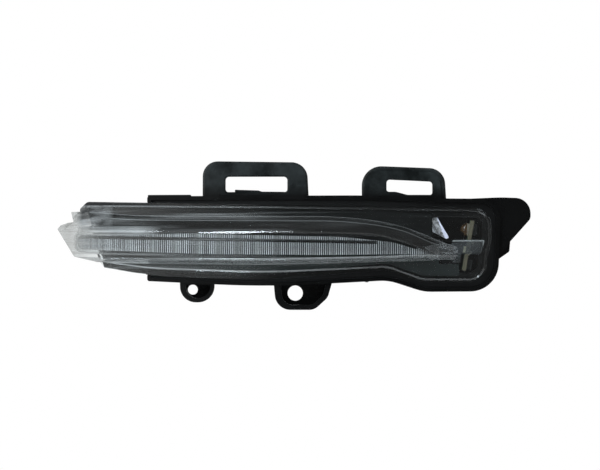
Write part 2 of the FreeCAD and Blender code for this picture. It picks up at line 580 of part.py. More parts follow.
def make_clamp():
    x0, x1, z0, z1 = CLAMP_LEG
    leg = block(x0, x1, -FAR_Y, FAR_Y, z0, z1).common(slab(CLAMP_FRONT, FLOOR_DEPTH - SEAT_GAP))
    leg = leg.cut(block(x0 - 1, CLAMP[0][0], -FAR_Y, y_at(x0, FLOOR_DEPTH - CLAMP_LEG_FREE), LOW_Z, HIGH_Z))
    x0, x1, z0, z1 = CLAMP_FOOT
    foot = block(x0, x1, -FAR_Y, FAR_Y, z0, z1)
    foot = foot.common(slab(FLOOR_DEPTH - SEAT_GAP - CLAMP_FOOT_WALL, FLOOR_DEPTH - SEAT_GAP))
    hole = post(SCREW_X, SCREW_Z, SCREW_RADIUS + FIT_GAP / 2, -FAR_Y, FAR_Y)
    return plate(CLAMP, CLAMP_FRONT, CLAMP_BACK).fuse([leg, foot.cut(hole)])


def make_screw():
    seat = y_at(SCREW_X - SCREW_HEAD_RADIUS, FLOOR_DEPTH - SEAT_GAP - PART_GAP - CLAMP_FOOT_WALL) - SCREW_SEAT
    head = post(SCREW_X, SCREW_Z, SCREW_HEAD_RADIUS, seat - SCREW_HEAD_TALL, seat)
    shank = post(SCREW_X, SCREW_Z, SCREW_RADIUS, seat - JOIN, y_at(SCREW_X, SCREW_END_DEPTH))
    return head.fuse(shank)


def make_reflector():
    inside = through(inset(LENS, SKIRT_WALL + FIT_GAP + TUB_WALL + SEAT_GAP))
    body = plate(REFLECTOR, REFLECTOR_FRONT, FLOOR_DEPTH - SEAT_GAP).common(inside)
    (x, z), (run_x, run_z) = SCOOP_START, SCOOP_RUN
    direction = Vector(run_x, 0, run_z)
    start = Vector(x, y_at(x, REFLECTOR_FRONT) - REFLECTOR_SCOOP + REFLECTOR_SCOOP_DEPTH, z)
    return body.cut(Part.makeCylinder(REFLECTOR_SCOOP, 3 * direction.Length, start - direction, direction))


def make_board():
    front, back = board_y(BOARD_FRONT), board_y(board_back())
    return leaned(block(BOARD_LEFT, BOARD_RIGHT, front, back, BOARD_LOW_Z, BOARD_HIGH_Z))


def on_left(depth, z, wide, long, tall):
    """Package on the outboard face of the board."""
    y = board_y(depth)
    right = BOARD_LEFT - PART_GAP
    return block(right - tall, right, y - wide / 2, y + wide / 2, z - long / 2, z + long / 2)


def on_right(depth, z, wide, long, tall):
    """Package on the inboard face of the board."""
    y = board_y(depth)
    left = BOARD_RIGHT + PART_GAP
    return leaned(block(left, left + tall, y - wide / 2, y + wide / 2, z - long / 2, z + long / 2))


def make_side_led():
    base = on_left(SIDE_LED_DEPTH, SIDE_LED_Z, SIDE_LED_WIDE, SIDE_LED_WIDE, SIDE_LED_TALL)
    right = BOARD_LEFT - PART_GAP
    centre = Vector(right - SIDE_LED_TALL + SIDE_LED_SINK, board_y(SIDE_LED_DEPTH), SIDE_LED_Z)
    dome = Part.makeSphere(SIDE_LED_DOME, centre)
    keep = block(0, right - SIDE_LED_TALL / 2, -FAR_Y, FAR_Y, LOW_Z, HIGH_Z)
    return leaned(base.fuse(dome.common(keep)))


def pin_block(z, gap):
    left = BOARD_RIGHT + PART_GAP
    return block(left - gap, left + PIN_THICK + gap, board_y(PIN_START_DEPTH), board_y(PIN_END_DEPTH),
                 z - PIN_WIDE / 2 - gap, z + PIN_WIDE / 2 + gap)


def make_vent():
    back = FLOOR_DEPTH + FLOOR_WALL - VENT_RECESS + VENT_SEAT
    return post(VENT_X, VENT_Z, VENT_PATCH_RADIUS, -FAR_Y, FAR_Y).common(slab(back, back + VENT_PATCH_THICK))


def export(name, shape):
    solids = shape.Solids
    out = solids[0] if len(solids) == 1 else Part.makeCompound(solids)
    print(name, "solids", len(solids), "valid", out.isValid(), "volume", round(out.Volume, 1))
    out.exportStep("parts/" + name + ".step")


def main():
    os.makedirs("parts", exist_ok=True)
    export("rear_housing", make_housing())
    export("outer_lens", make_lens())
    export("lens_seal", make_seal())
    export("light_guide", make_guide())
    export("inner_bezel", make_bezel())
    export("guide_clamp", make_clamp())
    export("clamp_screw", make_screw())
    export("side_reflector", make_reflector())
    export("led_board", make_board())
    export("guide_led_front", leaned(on_left(LED_FRONT_DEPTH, LED_Z, LED_WIDE, LED_WIDE, LED_TALL)))
    export("guide_led_rear", leaned(on_left(LED_REAR_DEPTH, LED_Z, LED_WIDE, LED_WIDE, LED_TALL)))
    export("side_led", make_side_led())
    export("driver_chip", on_right(*CHIP))
    export("protection_diode", on_right(*DIODE))
    export("filter_capacitor", on_right(*CAPACITOR))
    depth, *rest = RESISTOR
    for i in range(3):
        export("series_resistor_%d" % (i + 1), on_right(depth + RESISTOR_PITCH * i, *rest))
    export("terminal_lower", leaned(pin_block(PIN_Z[0], 0.0)))
    export("terminal_upper", leaned(pin_block(PIN_Z[1], 0.0)))
    export("vent_membrane", make_vent())


main()
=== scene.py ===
import math
import bpy
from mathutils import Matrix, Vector


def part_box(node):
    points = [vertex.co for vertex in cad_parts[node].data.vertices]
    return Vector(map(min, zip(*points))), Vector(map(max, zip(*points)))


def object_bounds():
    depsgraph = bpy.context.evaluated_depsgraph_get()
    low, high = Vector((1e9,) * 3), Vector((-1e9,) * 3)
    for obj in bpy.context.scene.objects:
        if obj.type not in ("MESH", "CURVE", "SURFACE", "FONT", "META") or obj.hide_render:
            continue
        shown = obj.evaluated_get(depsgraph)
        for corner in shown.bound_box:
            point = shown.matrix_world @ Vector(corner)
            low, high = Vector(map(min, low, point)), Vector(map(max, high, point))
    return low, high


# Looks of the mirror turn signal lamp: finishes for its moulded, clear and metal pieces, and the studio.
# Lengths and places are in metres. A constant of two numbers is a range, and one of four numbers is a range
# and the amounts at its two ends.
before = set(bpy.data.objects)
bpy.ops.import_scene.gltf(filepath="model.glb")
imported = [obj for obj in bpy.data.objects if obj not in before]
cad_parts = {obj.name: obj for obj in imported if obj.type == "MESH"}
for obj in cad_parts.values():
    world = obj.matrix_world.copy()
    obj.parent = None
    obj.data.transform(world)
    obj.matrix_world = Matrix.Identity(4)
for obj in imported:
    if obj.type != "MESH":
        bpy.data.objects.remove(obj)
cad_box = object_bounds()
low, high = (Vector(corner) for corner in cad_box)
middle = (low + high) / 2

# Photograph's frame: its width in pixels, metres a pixel, and where its middle falls on the lamp
FRAME_WIDE = 600
PIXEL = 0.00042
VIEW_X, VIEW_Z = 0.0020, 0.0244
CAMERA_AWAY = 2.5
CLIP_END = 20.0

# Floor: half its length and depth, and its drop below the lamp
FLOOR_HALF_X, FLOOR_HALF_Y = 0.45, 0.25
FLOOR_DROP = 0.083
FLOOR_FADE = 0.25, 0.95

# Studio: the world's level by direction, and the soft boxes by place from the lamp, width, height and glow
WHITE = (1, 1, 1, 1)
AHEAD = -0.97, -0.72
OVERHEAD = 0.7, 0.95, 1.0, 0.15
RIGHTWARD = -0.2, 0.5, 1.0, 0.3
WORLD_GAIN, WORLD_LEAST = 0.87, 0.08
BEHIND_LAMP = 0.5
LAMP_COLOUR = (0.86, 0.93, 1.0)
SOFT_BOXES = {
    "key_box": ((-0.385, -0.8, 0.77), 0.21, 0.9, 22.0),
    "window_box": ((-0.8, -0.8, 0.79), 0.14, 0.5, 12.0),
    "left_box": ((-1.2, -0.5, 0.3), 0.4, 0.6, 4.0),
    "right_box": ((1.2, -0.5, 0.3), 0.4, 0.6, 1.5),
    "low_box": ((-0.2, -1.0, -0.42), 1.8, 0.34, 1.75),
    "back_box": ((0.35, 1.0, 0.6), 0.9, 0.5, 2.5),
}

# Housing: heights over which the loops begin, where a lighter grey is painted on as sheen, and the turn from
# its front faces to the others
LOOP_HEIGHTS = 0.0405, 0.045
REAR_TURN = -0.6, -0.2

# Lens shape: its bow, the step behind the blade with its crease, the top of the blade's foot, and how far
# sloping and level faces are turned up or down
BOW_RADIUS, BOW_CENTRE = 0.3, 0.03
STEP_DEPTH = 0.0065
CREASE_FRONT, CREASE_BACK = STEP_DEPTH - 0.0002, STEP_DEPTH + 0.0006
BLADE_FOOT_TOP = 0.0337
SLOPING, LEVEL = 0.45, 0.6

# Lens tip, hook and brim, where shade is painted on: heights, and distances in from the lens's outboard end
TIP_FULL = 0.006
TIP_REACH = 0.0245, 0.0275, 0.028, 0.019
TIP_CROWN = 0.0355, 0.037, 1.0, 0.3
HOOK_HEIGHTS = 0.0265, 0.029
HOOK_OUTER, HOOK_INNER = (0.0075, 0.0105), (0.019, 0.024)
BRIM_FOOT, BRIM_END = 0.0369, -0.06

# Painted highlights on the lens along the lamp: under the blade, at its foot, along the rim and in the lower
# crease
UNDER_BLADE = 0.02, 0.055, 0.2, 0.1
FOOT_LINE = -0.08, -0.02, 0.6, 0.32
RIM_LINE = -0.06, 0.03, 0.24, 0.02
LOW_LINE = -0.055, 0.035, 1.0, 0.08

# Painted highlight streaks on the lens: their fading inboard, and at low and high places
STREAK_HIGHLIGHT_INBOARD = 0.02, 0.13, 0.36, 0.012
STREAK_HIGHLIGHT_LOW = 0.008, 0.016, 0.45, 1.0
STREAK_HIGHLIGHT_HIGH = 0.0335, 0.0345, 1.0, 0.55

# Painted highlight band on the ledge of the lens's nose: its heights, its start from the outboard end, and
# where it fades out
LEDGE_LOW, LEDGE_HIGH = 0.0243, 0.0276
LEDGE_START = 0.01, 0.016
LEDGE_FADE = -0.066, -0.056

# Light guide: its teeth, counted up from outside its outboard end, the dark line between its two rows,
# and how the painted reflection on its teeth changes along and across it
TOOTH_PITCH = 0.00088
COUNT_START = 200.0
STROKE_EDGE = 0.022, 0.058
PLAIN_END, PLAIN_LIGHT = (-0.084, -0.072), 0.55
TOOTH_SPREAD = -0.06, 0.0, 0.6, 0.45
LINE_HEIGHT, LINE_FALL = 0.02195, 0.0177
LINE_HALF, LINE_END = 0.00066, 0.034
UPPER_ROW, UPPER_GAIN = 0.0006, 0.3
GUIDE_INBOARD = -0.06, 0.045, 0.88, 0.56
GUIDE_FOOT = 0.0162, 0.0182, 1.35, 1.0
GUIDE_ROOT = 0.05, 0.058, 1.0, 0.25

# Clamp: widths of the painted highlight along its edges
EDGE_TOP, EDGE_BOTTOM, EDGE_END = 0.0006, 0.0005, 0.0007

# Reflector: the turn of its front land, and the painted reflection stripe along the land's leaning edge
LAND_TURN = -0.93
STRIPE_FOOT, STRIPE_LEAN, STRIPE_WIDE = 0.0731, 0.375, 0.0019

# Bezel's change of tone by height, the turn of the board's faces, and the depth of the LED's dome
BEZEL_HEIGHTS = 0.013, 0.02
BOARD_TURN = 0.6
DOME_DEPTH = 0.0027

# Colours: the dark and the light end of each finish
MOULDING_BLACK = (0.001, 0.0011, 0.0011, 1), (0.0026, 0.0029, 0.0029, 1)
# Lighter black painted on the loops: a painted sheen
LOOP_PAINTED_SHEEN = (0.0046, 0.0058, 0.0058, 1), (0.0185, 0.0222, 0.0225, 1)
ERODED_BLACK = (0.006, 0.0064, 0.0064, 1), (0.014, 0.0148, 0.0148, 1)
# Painted highlight colour on the lens, and the grey painted shade on its tip
COOL_PAINTED_HIGHLIGHT = (0.2, 0.212, 0.212, 1), (0.34, 0.357, 0.357, 1)
WARM_TIP_PAINTED_SHADE = (0.22, 0.214, 0.2, 1), (0.36, 0.35, 0.328, 1)
HOOK_SHADE = (0.035, 0.037, 0.037, 1), (0.2, 0.209, 0.209, 1)
BRIM_SHADE = (0.012, 0.0125, 0.0125, 1)
# Painted reflection on the guide's teeth, and painted shade on its back faces
TOOTH_PAINTED_REFLECTION, GUIDE_BACK_PAINTED_SHADE = (0.78, 0.8, 0.82, 1), (0.012, 0.0125, 0.013, 1)
CLAMP_SMOKE = (0.06, 0.063, 0.065, 1), (0.15, 0.155, 0.16, 1)
# Painted highlight along the clamp's edges
CLAMP_EDGE_HIGHLIGHT = (0.3, 0.31, 0.31, 1)
LENS_TINT = (0.95, 0.965, 0.965, 1)
GUIDE_TINT = (0.96, 0.968, 0.97, 1)
CLAMP_TINT = (0.8, 0.82, 0.84, 1)
BEZEL_LOWER = (0.011, 0.0138, 0.0134, 1), (0.017, 0.0205, 0.02, 1)
BEZEL_UPPER = (0.0016, 0.002, 0.002, 1), (0.004, 0.0048, 0.0048, 1)
BEAD_BLACK = (0.0008, 0.0009, 0.0009, 1), (0.0026, 0.0029, 0.0029, 1)
LAND_SILVER = (0.25, 0.25, 0.26, 1), (0.7, 0.7, 0.74, 1)
# Painted reflection along the reflector's leaning edge
STRIPE_PAINTED_REFLECTION = (0.62, 0.62, 0.85, 1), (0.9, 0.9, 0.96, 1)
SCOOP_SILVER = (0.16, 0.165, 0.18, 1), (0.5, 0.51, 0.54, 1)
BOARD_BEIGE = (0.045, 0.039, 0.023, 1), (0.095, 0.083, 0.05, 1)
BOARD_GREEN = (0.012, 0.06, 0.03, 1), (0.03, 0.11, 0.05, 1)
DOME_AMBER = (0.026, 0.014, 0.006, 1), (0.05, 0.027, 0.011, 1)
LED_PALE = (0.09, 0.078, 0.06, 1), (0.15, 0.13, 0.1, 1)
PATCH_WHITE = (0.5, 0.5, 0.49, 1), (0.78, 0.78, 0.77, 1)
SCREW_STEEL = (0.4, 0.4, 0.4, 1), (0.62, 0.62, 0.61, 1)
TERMINAL_TIN = (0.62, 0.56, 0.42, 1), (0.78, 0.74, 0.62, 1)
LED_CERAMIC = (0.6, 0.52, 0.3, 1), (0.78, 0.7, 0.45, 1)
CHIP_BLACK = (0.003, 0.003, 0.0033, 1), (0.008, 0.008, 0.0084, 1)
CAPACITOR_TAN = (0.3, 0.2, 0.11, 1), (0.42, 0.3, 0.18, 1)
FLOOR_PALE = (0.86, 0.86, 0.855, 1), (0.88, 0.88, 0.878, 1)


class Value:
    """A shader socket that takes part in sums: each operator adds one Math node."""

    def __init__(self, nodes, socket):
        self.nodes = nodes
        self.socket = socket

    def math(self, operation, other=0.0, swap=False):
        first, second = (other, self) if swap else (self, other)
        return self.nodes.node("ShaderNodeMath", {"operation": operation}, {0: first, 1: second})

    def __add__(self, other):
        return self.math("ADD", other)

    def __radd__(self, other):
        return self.math("ADD", other, True)

    def __sub__(self, other):
        return self.math("SUBTRACT", other)

    def __rsub__(self, other):
        return self.math("SUBTRACT", other, True)

    def __mul__(self, other):
        return self.math("MULTIPLY", other)

    def __rmul__(self, other):
        return self.math("MULTIPLY", other, True)

    def __truediv__(self, other):
        return self.math("DIVIDE", other)

    def __rtruediv__(self, other):
        return self.math("DIVIDE", other, True)

    def above(self, other):
        return self.math("GREATER_THAN", other)

    def below(self, other):
        return self.math("LESS_THAN", other)

    def larger(self, other):
        return self.math("MAXIMUM", other)


class Nodes:
    """A node tree with one way of adding to it."""

    def __init__(self, tree):
        self.tree = tree

    def feed(self, socket, value):
        """Link a value to a socket, or set the socket to a plain number or colour."""
        if isinstance(value, Value):
            self.tree.links.new(value.socket, socket)
        else:
            socket.default_value = value

    def node(self, kind, settings=None, sockets=None, out=0):
        """Add a node: its settings first, then the values or links of its sockets."""
        node = self.tree.nodes.new(kind)
        for name, setting in (settings or {}).items():
            setattr(node, name, setting)
        for name, value in (sockets or {}).items():
            self.feed(node.inputs[name], value)
        return Value(self, node.outputs[out])

    def axis(self, vector, letter):
        return self.node("ShaderNodeSeparateXYZ", sockets={0: vector}, out=letter)

    def place(self):
        """Position on the lamp, in metres."""
        return self.node("ShaderNodeTexCoord", out="Object")

    def at(self, letter):
        """Position along one axis, in metres."""
        return self.axis(self.place(), letter)

    def facing(self, letter):
        """How far a face is turned along one axis, from -1 to 1."""
        return self.axis(self.node("ShaderNodeTexCoord", out="Normal"), letter)

    def ray(self, kind):
        """1 for rays of this kind, 0 for the others."""
        return self.node("ShaderNodeLightPath", out=f"Is {kind} Ray")

    def noise(self, scale, detail=3.0, roughness=0.55):
        sockets = {"Vector": self.place(), "Scale": scale, "Detail": detail, "Roughness": roughness}
        return self.node("ShaderNodeTexNoise", sockets=sockets, out="Fac")

    def streaks(self, along, deep, tall):
        """Noise with its own scale on each axis; at 0 it doesn't change along that axis."""
        sockets = {"Vector": self.place(), "Scale": (along, deep, tall)}
        stretch = self.node("ShaderNodeMapping", sockets=sockets)
        sockets = {"Vector": stretch, "Scale": 1.0, "Detail": 3.0}
        return self.node("ShaderNodeTexNoise", sockets=sockets, out="Fac")

    def spread(self, value, start, end, to_start, to_end):
        """A value's range moved to another range, clamped."""
        sockets = {"Value": value, 1: start, 2: end, 3: to_start, 4: to_end}
        return self.node("ShaderNodeMapRange", sockets=sockets)

    def rise(self, value, start, end):
        """0 up to the range's start, 1 from its end on."""
        return self.spread(value, start, end, 0.0, 1.0)

    def fall(self, value, start, end):
        """1 up to the range's start, 0 from its end on."""
        return self.spread(value, start, end, 1.0, 0.0)

    def between(self, amount, one, two):
        """Colour from one to two."""
        sockets = {"Factor": amount, 6: one, 7: two}
        return self.node("ShaderNodeMix", {"data_type": "RGBA"}, sockets, out=2)

    def relief(self, height, depth, strength=1.0):
        """Normals of a surface raised by a height."""
        sockets = {"Height": height, "Distance": depth, "Strength": strength}
        return self.node("ShaderNodeBump", sockets=sockets)


class Finish(Nodes):
    """One material: a Principled shader and the nodes that feed it."""

    def __init__(self, name, **constants):
        self.material = bpy.data.materials.new(name)
        self.material.use_nodes = True
        super().__init__(self.material.node_tree)
        self.shader = self.tree.nodes["Principled BSDF"]
        self.opaque = Value(self, self.shader.outputs[0])
        for socket, value in constants.items():
            self.set(socket.replace("_", " "), value)

    def set(self, socket, value):
        self.feed(self.shader.inputs[socket], value)

    def bump(self, height, depth, strength):
        self.set("Normal", self.relief(height, depth, strength))

    def lay(self, amount, under, over):
        """Show one shader over another, by an amount."""
        mixed = self.node("ShaderNodeMixShader", sockets={0: amount, 1: under, 2: over})
        self.feed(self.tree.nodes["Material Output"].inputs["Surface"], mixed)


def black_moulding():
    """Satin black housing: fine grain and flow marks, loops painted a lighter grey as a painted sheen, and
    lighter rear faces.
    """
    finish = Finish("black_moulding", Specular_IOR_Level=0.15)
    grain = finish.noise(2600.0, detail=2.0)
    flow = finish.noise(70.0)
    sheen_patches = finish.rise(finish.noise(95.0, detail=4.0, roughness=0.6), 0.36, 0.64)
    loops = finish.rise(finish.at("Z"), *LOOP_HEIGHTS)
    rear = finish.rise(finish.facing("Y"), *REAR_TURN)
    black = finish.between(flow, *MOULDING_BLACK)
    # The loops' lighter grey is painted sheen, in patches
    loop_sheen = finish.between(sheen_patches, *LOOP_PAINTED_SHEEN)
    eroded = finish.between(flow, *ERODED_BLACK)
    front = finish.between(loops, black, loop_sheen)
    finish.set("Base Color", finish.between(rear, front, eroded))
    finish.set("Roughness", finish.spread(flow, 0.35, 0.65, 0.3, 0.18) + grain * 0.05 + rear * 0.14)
    finish.bump(grain, depth=0.00004, strength=0.6)
    return finish.material


def clear_skin(finish, tint, rough):
    """Clear plastic that bends what lies behind it. Lamp light and scattered light go straight through."""
    ripple = finish.relief(finish.streaks(2.5, 0.0, 200.0), depth=0.00018)
    blur = finish.spread(finish.noise(55.0), 0.35, 0.75, rough, rough + 0.003)
    sockets = {"Color": tint, "Roughness": blur, "IOR": 1.5, "Normal": ripple}
    glass = finish.node("ShaderNodeBsdfGlass", sockets=sockets)
    clear = finish.node("ShaderNodeBsdfTransparent", sockets={"Color": tint})
    blurred = finish.ray("Glossy") * (1.0 - finish.ray("Singular"))
    straight = finish.ray("Shadow").larger(finish.ray("Diffuse")).larger(blurred)
    return finish.node("ShaderNodeMixShader", sockets={0: straight, 1: glass, 2: clear})


def depth_behind_nose(finish):
    """Distance back from the lens's bowed front."""
    off = finish.at("X") - BOW_CENTRE
    back = BOW_RADIUS - (BOW_RADIUS ** 2 - off * off).math("SQRT")
    return finish.at("Y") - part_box("outer_lens")[0].y - back


def lens_line_highlights(finish, depth):
    """Painted highlights on the underside of the blade, and in the creases where the lens steps back."""
    x = finish.at("X")
    facing = finish.facing("Z")
    under = facing.below(-LEVEL) * depth.below(STEP_DEPTH) * finish.spread(x, *UNDER_BLADE)
    foot = finish.at("Z").below(BLADE_FOOT_TOP)
    upper = foot * finish.spread(x, *FOOT_LINE) + (1.0 - foot) * finish.spread(x, *RIM_LINE)
    lines = facing.above(SLOPING) * upper + facing.below(-SLOPING) * finish.spread(x, *LOW_LINE)
    # Bright lines painted as highlights
    return under + depth.above(CREASE_FRONT) * depth.below(CREASE_BACK) * lines


def lens_streak_highlights(finish, depth, inboard):
    """Painted highlights: long streaks along the lens, and a band on the ledge near the end of its nose."""
    x = finish.at("X")
    z = finish.at("Z")
    # Long streaks of painted highlight
    smear_and_highlight = finish.rise(finish.streaks(16.0, 0.0, 700.0), 0.5, 0.68) * finish.spread(inboard, *STREAK_HIGHLIGHT_INBOARD)
    smear_and_highlight = smear_and_highlight * finish.spread(z, *STREAK_HIGHLIGHT_LOW) * finish.spread(z, *STREAK_HIGHLIGHT_HIGH)
    # Band of painted highlight on the ledge
    ledge_highlight = z.above(LEDGE_LOW) * z.below(LEDGE_HIGH) * depth.below(STEP_DEPTH)
    ledge_highlight = ledge_highlight * finish.rise(inboard, *LEDGE_START) * finish.fall(x, *LEDGE_FADE)
    return smear_and_highlight + ledge_highlight * finish.spread(finish.streaks(12.0, 0.0, 1100.0), 0.4, 0.6, 0.2, 0.75)


def lens_plastic():
    """Clear lens: a grey veil of painted shade over its outboard tip, darker painted shade on the hook and
    brim above it, and painted highlights in lines, streaks and on a ledge.
    """
    finish = Finish("lens_plastic", Roughness=0.35, Specular_IOR_Level=0.2)
    depth = depth_behind_nose(finish)
    x = finish.at("X")
    z = finish.at("Z")
    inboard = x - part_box("outer_lens")[0].x
    tip = finish.fall(inboard, TIP_FULL, finish.spread(z, *TIP_REACH)) * finish.spread(z, *TIP_CROWN)
    hook = finish.rise(inboard, *HOOK_OUTER) * finish.fall(inboard, *HOOK_INNER)
    hook = hook * finish.rise(z, *HOOK_HEIGHTS)
    brim = z.above(BRIM_FOOT) * x.below(BRIM_END)
    cloud = finish.noise(140.0, detail=4.0)
    blotch = finish.rise(finish.streaks(85.0, 0.0, 430.0), 0.42, 0.58)
    # Tones of the painted highlights, and of the painted shade on the tip, hook and brim
    painted_light_tone = finish.between(tip, finish.between(cloud, *COOL_PAINTED_HIGHLIGHT), finish.between(cloud, *WARM_TIP_PAINTED_SHADE))
    painted_light_tone = finish.between(hook, painted_light_tone, finish.between(blotch, *HOOK_SHADE))
    finish.set("Base Color", finish.between(brim, painted_light_tone, BRIM_SHADE))
    painted_highlights = lens_line_highlights(finish, depth) + lens_streak_highlights(finish, depth, inboard)
    # How much painted shade covers the tip, hook and brim, and how much painted highlight covers the rest
    amount = tip * tip * 0.45 + hook * 0.55 + brim * 0.7 + painted_highlights + 0.002
    finish.lay(amount, clear_skin(finish, LENS_TINT, 0.0), finish.opaque)
    return finish.material


def guide_plastic():
    """Clear light guide with bright upright strokes over its teeth in two rows, a painted reflection of the
    light its prism teeth send back; its back faces are painted near black as painted shade.
    """
    finish = Finish("guide_plastic", Roughness=0.3)
    x = finish.at("X")
    z = finish.at("Z")
    count = x / TOOTH_PITCH + COUNT_START
    phase = count.math("FRACT") - 0.5
    plain = finish.fall(x, *PLAIN_END)
    stroke = finish.fall(phase * phase, *STROKE_EDGE) * (1.0 - plain) + plain * PLAIN_LIGHT
    tooth = {"W": count.math("FLOOR")}
    own = finish.node("ShaderNodeTexWhiteNoise", {"noise_dimensions": "1D"}, tooth, out="Value")
    patch = finish.spread(finish.noise(60.0), 0.3, 0.7, 0.8, 1.0)
    above_line = z - (LINE_HEIGHT - x * LINE_FALL)
    line = (above_line * above_line).below(LINE_HALF ** 2) * x.below(LINE_END)
    # light is a painted reflection: bright strokes over the teeth, left out along the dark line between the
    # rows
    light = stroke * (1.0 - own * finish.spread(x, *TOOTH_SPREAD)) * patch * (1.0 - line)
    light = light * (1.0 + above_line.above(UPPER_ROW) * UPPER_GAIN)
    light = light * finish.spread(z, *GUIDE_FOOT)
    light = light * finish.spread(x, *GUIDE_INBOARD) * finish.spread(x, *GUIDE_ROOT)
    # Back faces are painted near black: painted shade behind the strokes
    behind = finish.node("ShaderNodeNewGeometry", out="Backfacing")
    finish.set("Base Color", finish.between(behind, TOOTH_PAINTED_REFLECTION, GUIDE_BACK_PAINTED_SHADE))
    amount = behind * 0.85 + (1.0 - behind) * light * 0.85 + 0.01
    finish.lay(amount, clear_skin(finish, GUIDE_TINT, 0.0), finish.opaque)
    return finish.material


def clamp_plastic():
    """Smoky clear clamp with a paler painted highlight along its edges."""
    finish = Finish("clamp_plastic", Roughness=0.3)
    bottom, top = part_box("guide_clamp")
    z = finish.at("Z")
    cloud = finish.noise(160.0, detail=4.0)
    # Paler edges: a painted highlight
    edge_highlight = z.above(top.z - EDGE_TOP).larger(z.below(bottom.z + EDGE_BOTTOM))
    edge_highlight = edge_highlight.larger(finish.at("X").above(top.x - EDGE_END))
    finish.set("Base Color", finish.between(edge_highlight, finish.between(cloud, *CLAMP_SMOKE), CLAMP_EDGE_HIGHLIGHT))
    amount = finish.spread(cloud, 0.3, 0.7, 0.12, 0.3) + edge_highlight * 0.3
    finish.lay(amount, clear_skin(finish, CLAMP_TINT, 0.08), finish.opaque)
    return finish.material


def dark_bezel():
    """Dark grey-green moulding behind the lens, nearly black above its trough."""
    finish = Finish("dark_bezel", Specular_IOR_Level=0.1)
    flow = finish.noise(45.0, detail=4.0)
    upper = finish.rise(finish.at("Z"), *BEZEL_HEIGHTS)
    lower_tone = finish.between(flow, *BEZEL_LOWER)
    upper_tone = finish.between(flow, *BEZEL_UPPER)
    finish.set("Base Color", finish.between(upper, lower_tone, upper_tone))
    finish.set("Roughness", finish.spread(flow, 0.3, 0.7, 0.36, 0.5))
    finish.bump(finish.noise(2400.0, detail=2.0), depth=0.00001, strength=0.2)
    return finish.material


def sealing_bead():
    """Black hot-melt: smooth, slightly lumpy."""
    finish = Finish("sealing_bead", Specular_IOR_Level=0.12)
    lumps = finish.noise(160.0)
    finish.set("Base Color", finish.between(lumps, *BEAD_BLACK))
    finish.set("Roughness", finish.spread(lumps, 0.3, 0.7, 0.45, 0.65))
    finish.bump(lumps, depth=0.0003, strength=0.6)
    return finish.material


def metal(name, tones, rough, fine):
    """Bright metal with fine streaks along Z."""
    finish = Finish(name, Metallic=1.0)
    streak = finish.streaks(fine, fine, fine / 12)
    finish.set("Base Color", finish.between(streak, *tones))
    finish.set("Roughness", finish.spread(streak, 0.3, 0.7, rough, rough * 1.8))
    finish.bump(streak, depth=0.00001, strength=0.4)
    return finish.material


def reflector_silver():
    """Mottled silver front land with a lilac-white stripe of painted reflection, and a scoop that mirrors
    the dark inside.
    """
    finish = Finish("reflector_silver")
    land = finish.facing("Y").below(LAND_TURN)
    smear_and_highlight = finish.noise(600.0)
    mottle = finish.rise(finish.noise(1100.0), 0.4, 0.62)
    # A lilac-white painted reflection along the land's leaning edge, made less metallic so its colour shows
    from_edge = STRIPE_FOOT - finish.at("Z") * STRIPE_LEAN - finish.at("X")
    reflection_stripe = from_edge.below(STRIPE_WIDE)
    land_tone = finish.between(mottle, *LAND_SILVER)
    land_tone = finish.between(reflection_stripe, land_tone, finish.between(smear_and_highlight, *STRIPE_PAINTED_REFLECTION))
    scoop_tone = finish.between(smear_and_highlight, *SCOOP_SILVER)
    finish.set("Base Color", finish.between(land, scoop_tone, land_tone))
    finish.set("Metallic", 1.0 - land * (reflection_stripe * 0.9 + (1.0 - reflection_stripe) * mottle * 0.5))
    finish.set("Roughness", finish.spread(smear_and_highlight, 0.3, 0.7, 0.12, 0.3) + land * 0.15)
    return finish.material


def board_laminate():
    """Circuit board: green mask on its faces, beige laminate with a fibre grain on its edges."""
    finish = Finish("board_laminate", Specular_IOR_Level=0.4)
    across = finish.facing("X")
    face = (across * across).above(BOARD_TURN)
    fibre = finish.noise(1500.0)
    tracks = finish.noise(300.0, detail=1.0).above(0.52)
    edge_tone = finish.between(fibre, *BOARD_BEIGE)
    face_tone = finish.between(tracks, *BOARD_GREEN)
    finish.set("Base Color", finish.between(face, edge_tone, face_tone))
    finish.set("Roughness", 0.62 - face * 0.28 + fibre * 0.08)
    finish.bump(fibre, depth=0.00003, strength=0.5)
    return finish.material


def package(name, tones, rough):
    """Small moulded or ceramic package."""
    finish = Finish(name, Specular_IOR_Level=0.2)
    speck = finish.noise(2200.0)
    finish.set("Base Color", finish.between(speck, *tones))
    finish.set("Roughness", finish.spread(speck, 0.3, 0.7, rough, rough + 0.15))
    finish.bump(speck, depth=0.00002, strength=0.5)
    return finish.material


def amber_led():
    """LED with a pale package and an amber dome."""
    finish = Finish("amber_led", IOR=1.5)
    speck = finish.noise(900.0)
    dome = finish.at("X").below(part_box("side_led")[0].x + DOME_DEPTH)
    pale = finish.between(speck, *LED_PALE)
    amber = finish.between(speck, *DOME_AMBER)
    finish.set("Base Color", finish.between(dome, pale, amber))
    finish.set("Roughness", 0.4 - dome * 0.26 + speck * 0.06)
    finish.bump(speck, depth=0.00001, strength=0.4)
    return finish.material


def breather_patch():
    """White porous patch."""
    finish = Finish("breather_patch", Specular_IOR_Level=0.25)
    pores = finish.noise(3200.0, detail=2.0)
    finish.set("Base Color", finish.between(pores, *PATCH_WHITE))
    finish.set("Roughness", finish.spread(pores, 0.3, 0.7, 0.7, 0.9))
    finish.bump(pores, depth=0.0001, strength=0.7)
    return finish.material


def dress(material, *nodes):
    """Give CAD nodes a finish."""
    for name in nodes:
        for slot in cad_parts[name].material_slots:
            slot.material = material


